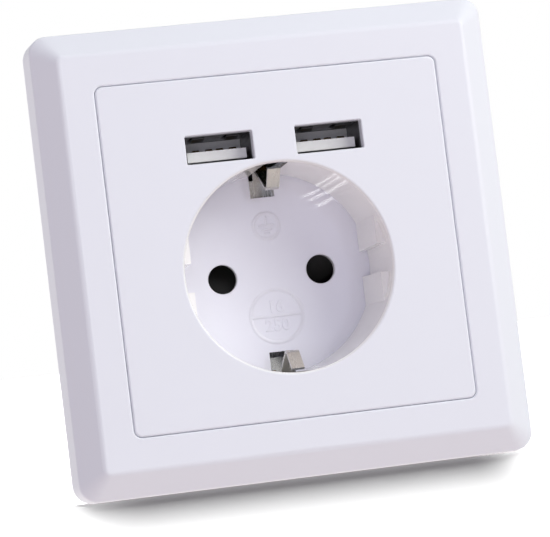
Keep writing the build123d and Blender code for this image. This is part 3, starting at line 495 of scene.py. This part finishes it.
def ring_bead(z, radius, count=128):
    """Bead round a circle on the well's floor: across it the height is the fourth power of a sine,
    so that it rises gently from its foot, and below the floor a shallow root closes it."""
    turn = np.linspace(0, 2 * np.pi, count, endpoint=False)[:, None]
    out = radius + RING_W / 2 * np.cos(AROUND)
    return np.stack(np.broadcast_arrays(
        out * np.cos(turn), FLOOR_Y - BEAD_RISE, z + out * np.sin(turn)), -1), True


def bar_bead(start, end, count=9):
    """The same bead from start to end (x, z), with half circles of latitude that round off both ends."""
    start = np.array(start)
    end = np.array(end)
    side = np.sign(np.arange(2 * count) - count + 0.5)[:, None]
    quarter = np.linspace(0, np.pi / 2, count)
    latitude = np.concatenate([quarter - np.pi / 2, quarter])[:, None]
    middle = (start + end) / 2
    half = np.linalg.norm(end - start) / 2
    ahead = (end - start) / (2 * half)
    across = np.array([-ahead[1], ahead[0]])
    reach = half * side + BAR_W / 2 * np.sin(latitude)
    wide = BAR_W / 2 * np.cos(latitude) * np.cos(AROUND)
    x = middle[0] + reach * ahead[0] + wide * across[0]
    z = middle[1] + reach * ahead[1] + wide * across[1]
    return np.stack(np.broadcast_arrays(x, FLOOR_Y - np.cos(latitude) * BEAD_RISE, z), -1), False


print("bead", BEAD_H, "high, ring", RING_W, "wide, bar", BAR_W, "wide")

# %% [markdown]
# The earth sign is a ring with an upright line that ends on three bars, each shorter than the one above.
# Each bar is given by its height over the ring's middle and by half its length, both in millimetres.

# %% Earth sign
EARTH_SIGN_Z = WELL_Z + 9.23 * MM
EARTH_SIGN_R = 2.45 * MM
EARTH_LINE = (0.15 * MM, 1.6 * MM)
EARTH_BARS = ((0.15, 1.25), (-0.65, 0.8), (-1.4, 0.3))
earth_grids = [ring_bead(EARTH_SIGN_Z, EARTH_SIGN_R)]
earth_grids.append(bar_bead((0, EARTH_SIGN_Z + EARTH_LINE[0]), (0, EARTH_SIGN_Z + EARTH_LINE[1])))
for rise, half in EARTH_BARS:
    z = EARTH_SIGN_Z + rise * MM
    earth_grids.append(bar_bead((-half * MM, z), (half * MM, z)))
make_piece("earth_sign", earth_grids, plate_finish, "socket")

# %% [markdown]
# The larger ring has a bar across it and plain numbers above and below.
# Blender's built-in letters serve for the numbers: each text is turned into a mesh first.
# Then its points are laid on the well's floor, with the text's depth pointing to the room.

# %% Number ring
RATING_Z = WELL_Z - 7.98 * MM
RATING_R = 5.0 * MM
NUMBER_SIZE = 3.2 * MM
NUMBER_RISE = 1.75 * MM
rating_grids = [ring_bead(RATING_Z, RATING_R)]
rating_grids.append(bar_bead((-RATING_R, RATING_Z), (RATING_R, RATING_Z)))
make_piece("rating_ring", rating_grids, plate_finish, "socket")


def raised_number(name, words, size, z):
    """Text as a mesh: its x stays x, its height becomes z, its depth points out of the well's floor."""
    curve = bpy.data.curves.new(name, "FONT")
    curve.body = words
    curve.size = size
    curve.align_x = "CENTER"
    curve.align_y = "CENTER"
    curve.extrude = BEAD_ROOT
    curve.bevel_depth = BEAD_H - BEAD_ROOT
    curve.bevel_resolution = 3
    curve.resolution_u = 6
    writing = bpy.data.objects.new(name + "_writing", curve)
    bpy.context.scene.collection.objects.link(writing)
    mesh = bpy.data.meshes.new_from_object(writing.evaluated_get(bpy.context.evaluated_depsgraph_get()))
    bpy.data.objects.remove(writing)
    flat = np.empty(len(mesh.vertices) * 3)
    mesh.vertices.foreach_get("co", flat)
    x, up, out = flat.reshape(-1, 3).T
    mesh.vertices.foreach_set("co", np.stack([x, FLOOR_Y - out, z + up], -1).ravel())
    mesh.name = name
    return place_piece(name, mesh, plate_finish, "socket")


raised_number("number_above", "16", NUMBER_SIZE, RATING_Z + NUMBER_RISE)
raised_number("number_below", "250", NUMBER_SIZE, RATING_Z - NUMBER_RISE)

# %% [markdown]
# A screw is a profile of distance and radius turned round its axis.
# A helix cuts the thread into the shank, and one slot or two crossed ones sink into the driven face.
# A modelled thread and recess cost few faces here and, unlike bump, they are part of the mesh itself.

# %% Threaded screws
TURNS = np.linspace(0, 2 * np.pi, 72, endpoint=False)
RINGS_PER_PITCH = 10
FACE_RINGS = 24
RECESS_SOFT = 0.08 * MM


def screw(length, radius, pitch, head_r, head_h, slot_w, slot_reach, slot_depth, arms):
    """Rings from the tip to the middle of the driven face: distance along the axis and two places across.
    The shank's radius is lowered by a triangle wave of distance over pitch less turn: that is the helix.
    The driven face sinks where a point lies inside one straight slot, or inside two crossed ones."""
    shank = np.linspace(0, length, int(length / pitch * RINGS_PER_PITCH) + 1)
    face = np.linspace(head_r, 0, FACE_RINGS)
    top = length + head_h
    along = np.concatenate([[0], shank, [length, top], np.full(FACE_RINGS, top)])[:, None]
    outer = np.concatenate([[0], np.full(len(shank), radius), [head_r, head_r], face])[:, None]
    wave = np.abs(2 * ((along / pitch - TURNS / (2 * np.pi)) % 1) - 1)
    ring = np.arange(len(along))[:, None]
    on_shank = (ring > 1) & (ring < len(shank))
    outer = outer - np.where(on_shank, pitch / 2 * wave, 0)
    u = outer * np.cos(TURNS)
    v = outer * np.sin(TURNS)
    sink = np.zeros_like(u)
    for lengthwise, crosswise in ((u, v), (v, u))[:arms]:
        inside = np.minimum(slot_reach - np.abs(lengthwise), slot_w / 2 - np.abs(crosswise))
        sink = np.maximum(sink, slot_depth * np.clip(inside / RECESS_SOFT, 0, 1))
    on_face = ring >= len(along) - FACE_RINGS
    return along - np.where(on_face, sink, 0), u, v


print("screws have", len(TURNS), "points round and", RINGS_PER_PITCH, "rings for each pitch")

# %% [markdown]
# Four cross-headed screws hold the housing's flange to the support plate, one at each corner.
# Their places are the corners of the CAD node's box, less the head's radius.

# %% Plate screws
PLATE_SHANK_R = 1.1 * MM
PLATE_PITCH = 0.45 * MM
PLATE_HEAD_R = 2.2 * MM
PLATE_HEAD_H = 1.4 * MM
low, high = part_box("plate_screws")
along, u, v = screw(high.y - low.y - PLATE_HEAD_H, PLATE_SHANK_R, PLATE_PITCH, PLATE_HEAD_R, PLATE_HEAD_H,
                    slot_w=0.6 * MM, slot_reach=1.25 * MM, slot_depth=0.9 * MM, arms=2)
plate_grids = []
for x in (low.x + PLATE_HEAD_R, high.x - PLATE_HEAD_R):
    for z in (low.z + PLATE_HEAD_R, high.z - PLATE_HEAD_R):
        plate_grids.append((np.stack([x + u, high.y - along, z + v], -1), False))
plate_screws = make_piece("threaded_plate_screws", plate_grids, zinc, "socket")
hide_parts("plate_screws")

# %% [markdown]
# Three headless screws clamp the wires in the terminals.
# They stand upright, with one slot right across the lower end, where a screwdriver reaches them.

# %% Terminal screws
TERMINAL_R = 1.5 * MM
TERMINAL_PITCH = 0.5 * MM
low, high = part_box("terminal_screws")
along, u, v = screw(high.z - low.z, TERMINAL_R, TERMINAL_PITCH, TERMINAL_R, 0,
                    slot_w=0.5 * MM, slot_reach=2 * TERMINAL_R, slot_depth=0.6 * MM, arms=1)
terminal_grids = [
    (np.stack([x + u, (low.y + high.y) / 2 + v, high.z - along], -1), False)
    for x in (low.x + TERMINAL_R, (low.x + high.x) / 2, high.x - TERMINAL_R)]
terminal_screws = make_piece("threaded_terminal_screws", terminal_grids, zinc, "socket")
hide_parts("terminal_screws")

# %% [markdown]
# The studio floor is a sheet of paper, bent along the socket's lower edge.
# In front it slopes down, so a camera this low still sees the floor and the shadow on it.
# Behind the edge it rises a little, which hides the thin line of backdrop under the round corners.
# Plain planes would meet in a crease, so both slopes start with a soft bend.

# %% Bent paper floor
FLOOR_WIDE = 1.6
FLOOR_NEAR = -0.5
FLOOR_FAR = 0.5
FLOOR_GAP = 0.05 * MM
FINE_ROWS = 50 * MM
ROW = 1 * MM
SLOPE = 0.40
RISE = 0.08
RISE_FROM = FRONT_Y + 6 * MM
BEND_R = 4 * MM


def bend(distance, slope):
    """A slope that starts softly: slope times the root of distance squared plus radius squared,
    less the radius, and nothing before its start."""
    return slope * (np.sqrt(np.maximum(distance, 0) ** 2 + BEND_R ** 2) - BEND_R)


across = np.linspace(-FLOOR_WIDE / 2, FLOOR_WIDE / 2, 41)[None, :]
depth = np.concatenate([np.linspace(FLOOR_NEAR, FRONT_Y - FINE_ROWS, 40),
                        np.linspace(FRONT_Y - FINE_ROWS + ROW, FRONT_Y + FINE_ROWS, 80),
                        np.linspace(FRONT_Y + FINE_ROWS + ROW, FLOOR_FAR, 40)])[:, None]
height = BOTTOM_Z - FLOOR_GAP - bend(FRONT_Y + BEND_R - depth, SLOPE) + bend(depth - RISE_FROM, RISE)
floor_points = np.stack(np.broadcast_arrays(across, depth, height), -1)
rows, columns = floor_points.shape[:2]
floor_faces = grid_faces(rows, columns, False).reshape(rows - 1, columns, 4)[:, :-1].reshape(-1, 4)
floor_mesh = bpy.data.meshes.new("floor")
floor_mesh.from_pydata(floor_points.reshape(-1, 3).tolist(), [], floor_faces.tolist())
floor_mesh.shade_smooth()
floor = bpy.data.objects.new("floor", floor_mesh)
bpy.context.scene.collection.objects.link(floor)
print("floor", rows, "by", columns, "points")

# %% [markdown]
# The paper is plain uncoated stock, with a faint mottle from its fibres, drawn at 2 mm so that it shows.
# The room's light already holds what a table would throw back, so the paper itself lights nothing.

# %% Studio paper
PAPER_FIBRE = 2 * MM
paper, tree, shader, place = start_finish("white_studio_paper", IOR=1.4, Roughness=0.9)
fibre = add(tree, "ShaderNodeTexNoise", {"Vector": place, "Scale": 1 / PAPER_FIBRE, "Detail": 3.0})
tone = add(tree, "ShaderNodeMix", {
    "Factor": fibre.outputs["Fac"], "A": linear("a4a4a4"), "B": linear("a2a2a2")}, data_type="RGBA")
feed(tree, shader, Base_Color=tone.outputs["Result"])
floor_mesh.materials.append(paper)
floor.visible_diffuse = False
floor.visible_glossy = False
floor.visible_shadow = False
print(paper.name, "on the floor")

# %% [markdown]
# The room has a bright wall behind the socket, a white table top below it and a dimmer wall to its left.
# A world whose brightness is a sum of three such directions gives all of that without building a room.
# Each direction has the cosine at which its light begins, and a colour. Only the camera sees plain white.

# %% Room light
ROOM_SIDES = (
    ("wall_behind", (0, 1, 0), -0.4, (0.81, 0.84, 0.84)),
    ("table_below", (0, 0, -1), 0.0, (0.81, 0.70, 0.67)),
    ("wall_left", (-1, 0, 0), 0.0, (0.32, 0.27, 0.31)),
)
world = bpy.data.worlds.new("studio_white")
bpy.context.scene.world = world
world.use_nodes = True
tree = world.node_tree
tree.nodes.clear()
direction = add(tree, "ShaderNodeTexCoord").outputs["Generated"]
glow = (0, 0, 0)
for name, side, start, colour in ROOM_SIDES:
    facing = add(tree, "ShaderNodeVectorMath", {0: direction, 1: side}, operation="DOT_PRODUCT")
    share = add(tree, "ShaderNodeMapRange", {
        "Value": facing.outputs["Value"], "From Min": start, "From Max": 1.0}).outputs["Result"]
    part = add(tree, "ShaderNodeVectorMath", {0: colour, "Scale": share}, operation="SCALE")
    glow = add(tree, "ShaderNodeVectorMath", {
        0: part.outputs["Vector"], 1: glow}, operation="ADD").outputs["Vector"]
    print(name, "gives", colour)
room_light = add(tree, "ShaderNodeBackground", {"Color": glow, "Strength": 1.0})
backdrop = add(tree, "ShaderNodeBackground", {"Color": (1, 1, 1, 1), "Strength": 1.0})
to_eye = add(tree, "ShaderNodeLightPath").outputs["Is Camera Ray"]
seen = add(tree, "ShaderNodeMixShader", {
    0: to_eye, 1: room_light.outputs["Background"], 2: backdrop.outputs["Background"]})
add(tree, "ShaderNodeOutputWorld", {"Surface": seen.outputs["Shader"]})

# %% [markdown]
# A studio light is an area lamp turned towards what it lights.
# Light linking names the things that a lamp reaches, as a flag or a screen would do in a real studio.


# %% Helpers for lights
def soft_light(name, place, aim, width, height, watts, colour="ffffff"):
    """A rectangular area light at a place, turned so that it shines towards the aim."""
    lamp = bpy.data.lights.new(name, "AREA")
    lamp.shape = "RECTANGLE"
    lamp.size = width
    lamp.size_y = height
    lamp.energy = watts
    lamp.color = linear(colour)[:3]
    light = bpy.data.objects.new(name, lamp)
    bpy.context.scene.collection.objects.link(light)
    light.location = place
    direction = Vector(aim) - Vector(place)
    light.rotation_euler = direction.to_track_quat("-Z", "Y").to_euler()
    print(name, watts, "W at", place)
    return light


def link_light(light, things, state):
    """Let a light reach only these things ("INCLUDE"), or everything but them ("EXCLUDE")."""
    group = bpy.data.collections.new(light.name + "_reach")
    for thing in things:
        group.objects.link(thing)
    for member in group.collection_objects:
        member.light_linking.link_state = state
    light.light_linking.receiver_collection = group


# %% [markdown]
# A large soft light stands to the right, in front and above, so the well's right side is in shade.
# A weaker one hangs above, and a fill near the camera lightens the well.
# Bare metal would mirror the fill as a white sheet, so a flag keeps it off the metal and the black shutter.
# The floor has lights of its own, which come next.

# %% Studio lights
SOFT_BOX = 0.70
MIDDLE = (0, 0, 0)
flagged = [nodes[name] for name in ("earth_bracket", "usb_shell_left", "usb_shell_right", "shutter")]
for name, place, watts, colour, kept_off in (
    ("key_light", (0.684, -0.608, 0.400), 7.1, "fdfdf9", [floor]),
    ("top_light", (0.10, -0.45, 0.89), 2.2, "ffffff", [floor]),
    ("fill_light", (-0.10, -0.99, 0.05), 2.3, "eaeaff", [floor, *flagged]),
):
    link_light(soft_light(name, place, MIDDLE, SOFT_BOX, SOFT_BOX, watts, colour), kept_off, "EXCLUDE")

# %% [markdown]
# A strip light hangs just behind the socket's front, so the socket shades the floor in front of it.
# Away from the socket the strip makes the paper as white as the backdrop, so the floor's end can't be seen.
# A weak light from the front keeps the line where the socket meets the floor from going black.

# %% Floor light
STRIP_HEIGHT = 1.2
STRIP_BEHIND = 0.152
STRIP_RIGHT = 0.05
STRIP_WIDTH = 0.30
STRIP_DEPTH = 0.28
STRIP_WATTS = 67.0
FRONT_PLACE = (0, -0.9, 0.8)
FRONT_WATTS = 5.2
strip_place = (STRIP_RIGHT, FRONT_Y + STRIP_BEHIND, BOTTOM_Z + STRIP_HEIGHT)
strip_aim = (*strip_place[:2], BOTTOM_Z)
floor_light = soft_light("floor_light", strip_place, strip_aim, STRIP_WIDTH, STRIP_DEPTH, STRIP_WATTS)
front_light = soft_light("front_light", FRONT_PLACE, (0, 0, BOTTOM_Z), SOFT_BOX, SOFT_BOX, FRONT_WATTS)
link_light(floor_light, [floor], "INCLUDE")
link_light(front_light, [floor], "INCLUDE")

# %% [markdown]
# The shadow fades out under both lower corners, because light also comes in round the socket's sides.
# Two soft-edged spots from the front give that light: each one's rim lies inside a corner.
# They cast no shadow, so the paper just behind the corners stays as soft as the paper in front.

# %% End spots
SPOT_R = 60 * MM
SPOT_WATTS = 22
SPOT_FROM = Vector((0, -0.235, 0.346))
for name, rim, blend in (("left_spot", -31 * MM, 0.90), ("right_spot", 32 * MM, 0.34)):
    lamp = bpy.data.lights.new(name, "SPOT")
    lamp.energy = SPOT_WATTS
    lamp.spot_size = 2 * np.arctan(SPOT_R / SPOT_FROM.length)
    lamp.spot_blend = blend
    lamp.shadow_soft_size = 5 * MM
    lamp.use_shadow = False
    spot = bpy.data.objects.new(name, lamp)
    bpy.context.scene.collection.objects.link(spot)
    spot.location = Vector((rim + np.sign(rim) * SPOT_R, FRONT_Y, BOTTOM_Z)) + SPOT_FROM
    spot.rotation_euler = SPOT_FROM.to_track_quat("Z", "Y").to_euler()
    link_light(spot, [floor], "INCLUDE")
    print(name, "lights the floor beyond", rim)

# %% [markdown]
# A far window with three tall panes mirrors in the polished well, once on the floor and once on the wall.
# Each pane is a narrow upright light below the camera, and the round wall squeezes it to a thin bright bar.
# The panes are seen only as reflections: their own light would flatten the shading.

# %% Window panes
PANE_H = 0.13
PANE_RADIANCE = 100
PANE_LEAN = np.radians(-19)
PANE_Y = -1.0
PANE_Z = -0.226
PANE_AIM = (0.011, 0, 0.011)
for name, x, width in (
    ("left_pane", -0.064, 0.017),
    ("middle_pane", -0.026, 0.012),
    ("right_pane", -0.001, 0.012),
):
    pane_watts = np.pi * PANE_RADIANCE * width * PANE_H
    pane = soft_light(name, (x, PANE_Y, PANE_Z), PANE_AIM, width, PANE_H, pane_watts)
    pane.rotation_euler.rotate_axis("Z", PANE_LEAN)
    pane.visible_diffuse = False
    link_light(pane, [floor], "EXCLUDE")

# %% [markdown]
# The camera looks slightly from the left and from below, turned by a few degrees, as the photo does.
# Its place was found by fitting the plate's corners and the pin holes, which are a known distance apart.

# %% Camera
LENS_MM = 179.106
SENSOR_MM = 36
CAMERA_PLACE = (-0.099391, -0.501855, -0.034318)
CAMERA_TURN = (93.4673, 6.9398, -10.7340)
lens = bpy.data.cameras.new("product_camera")
lens.lens = LENS_MM
lens.sensor_width = SENSOR_MM
camera = bpy.data.objects.new("product_camera", lens)
bpy.context.scene.collection.objects.link(camera)
camera.location = CAMERA_PLACE
camera.rotation_euler = np.radians(CAMERA_TURN).tolist()
bpy.context.scene.camera = camera
bpy.context.scene.view_settings.view_transform = "Standard"
print("camera at", tuple(camera.location))
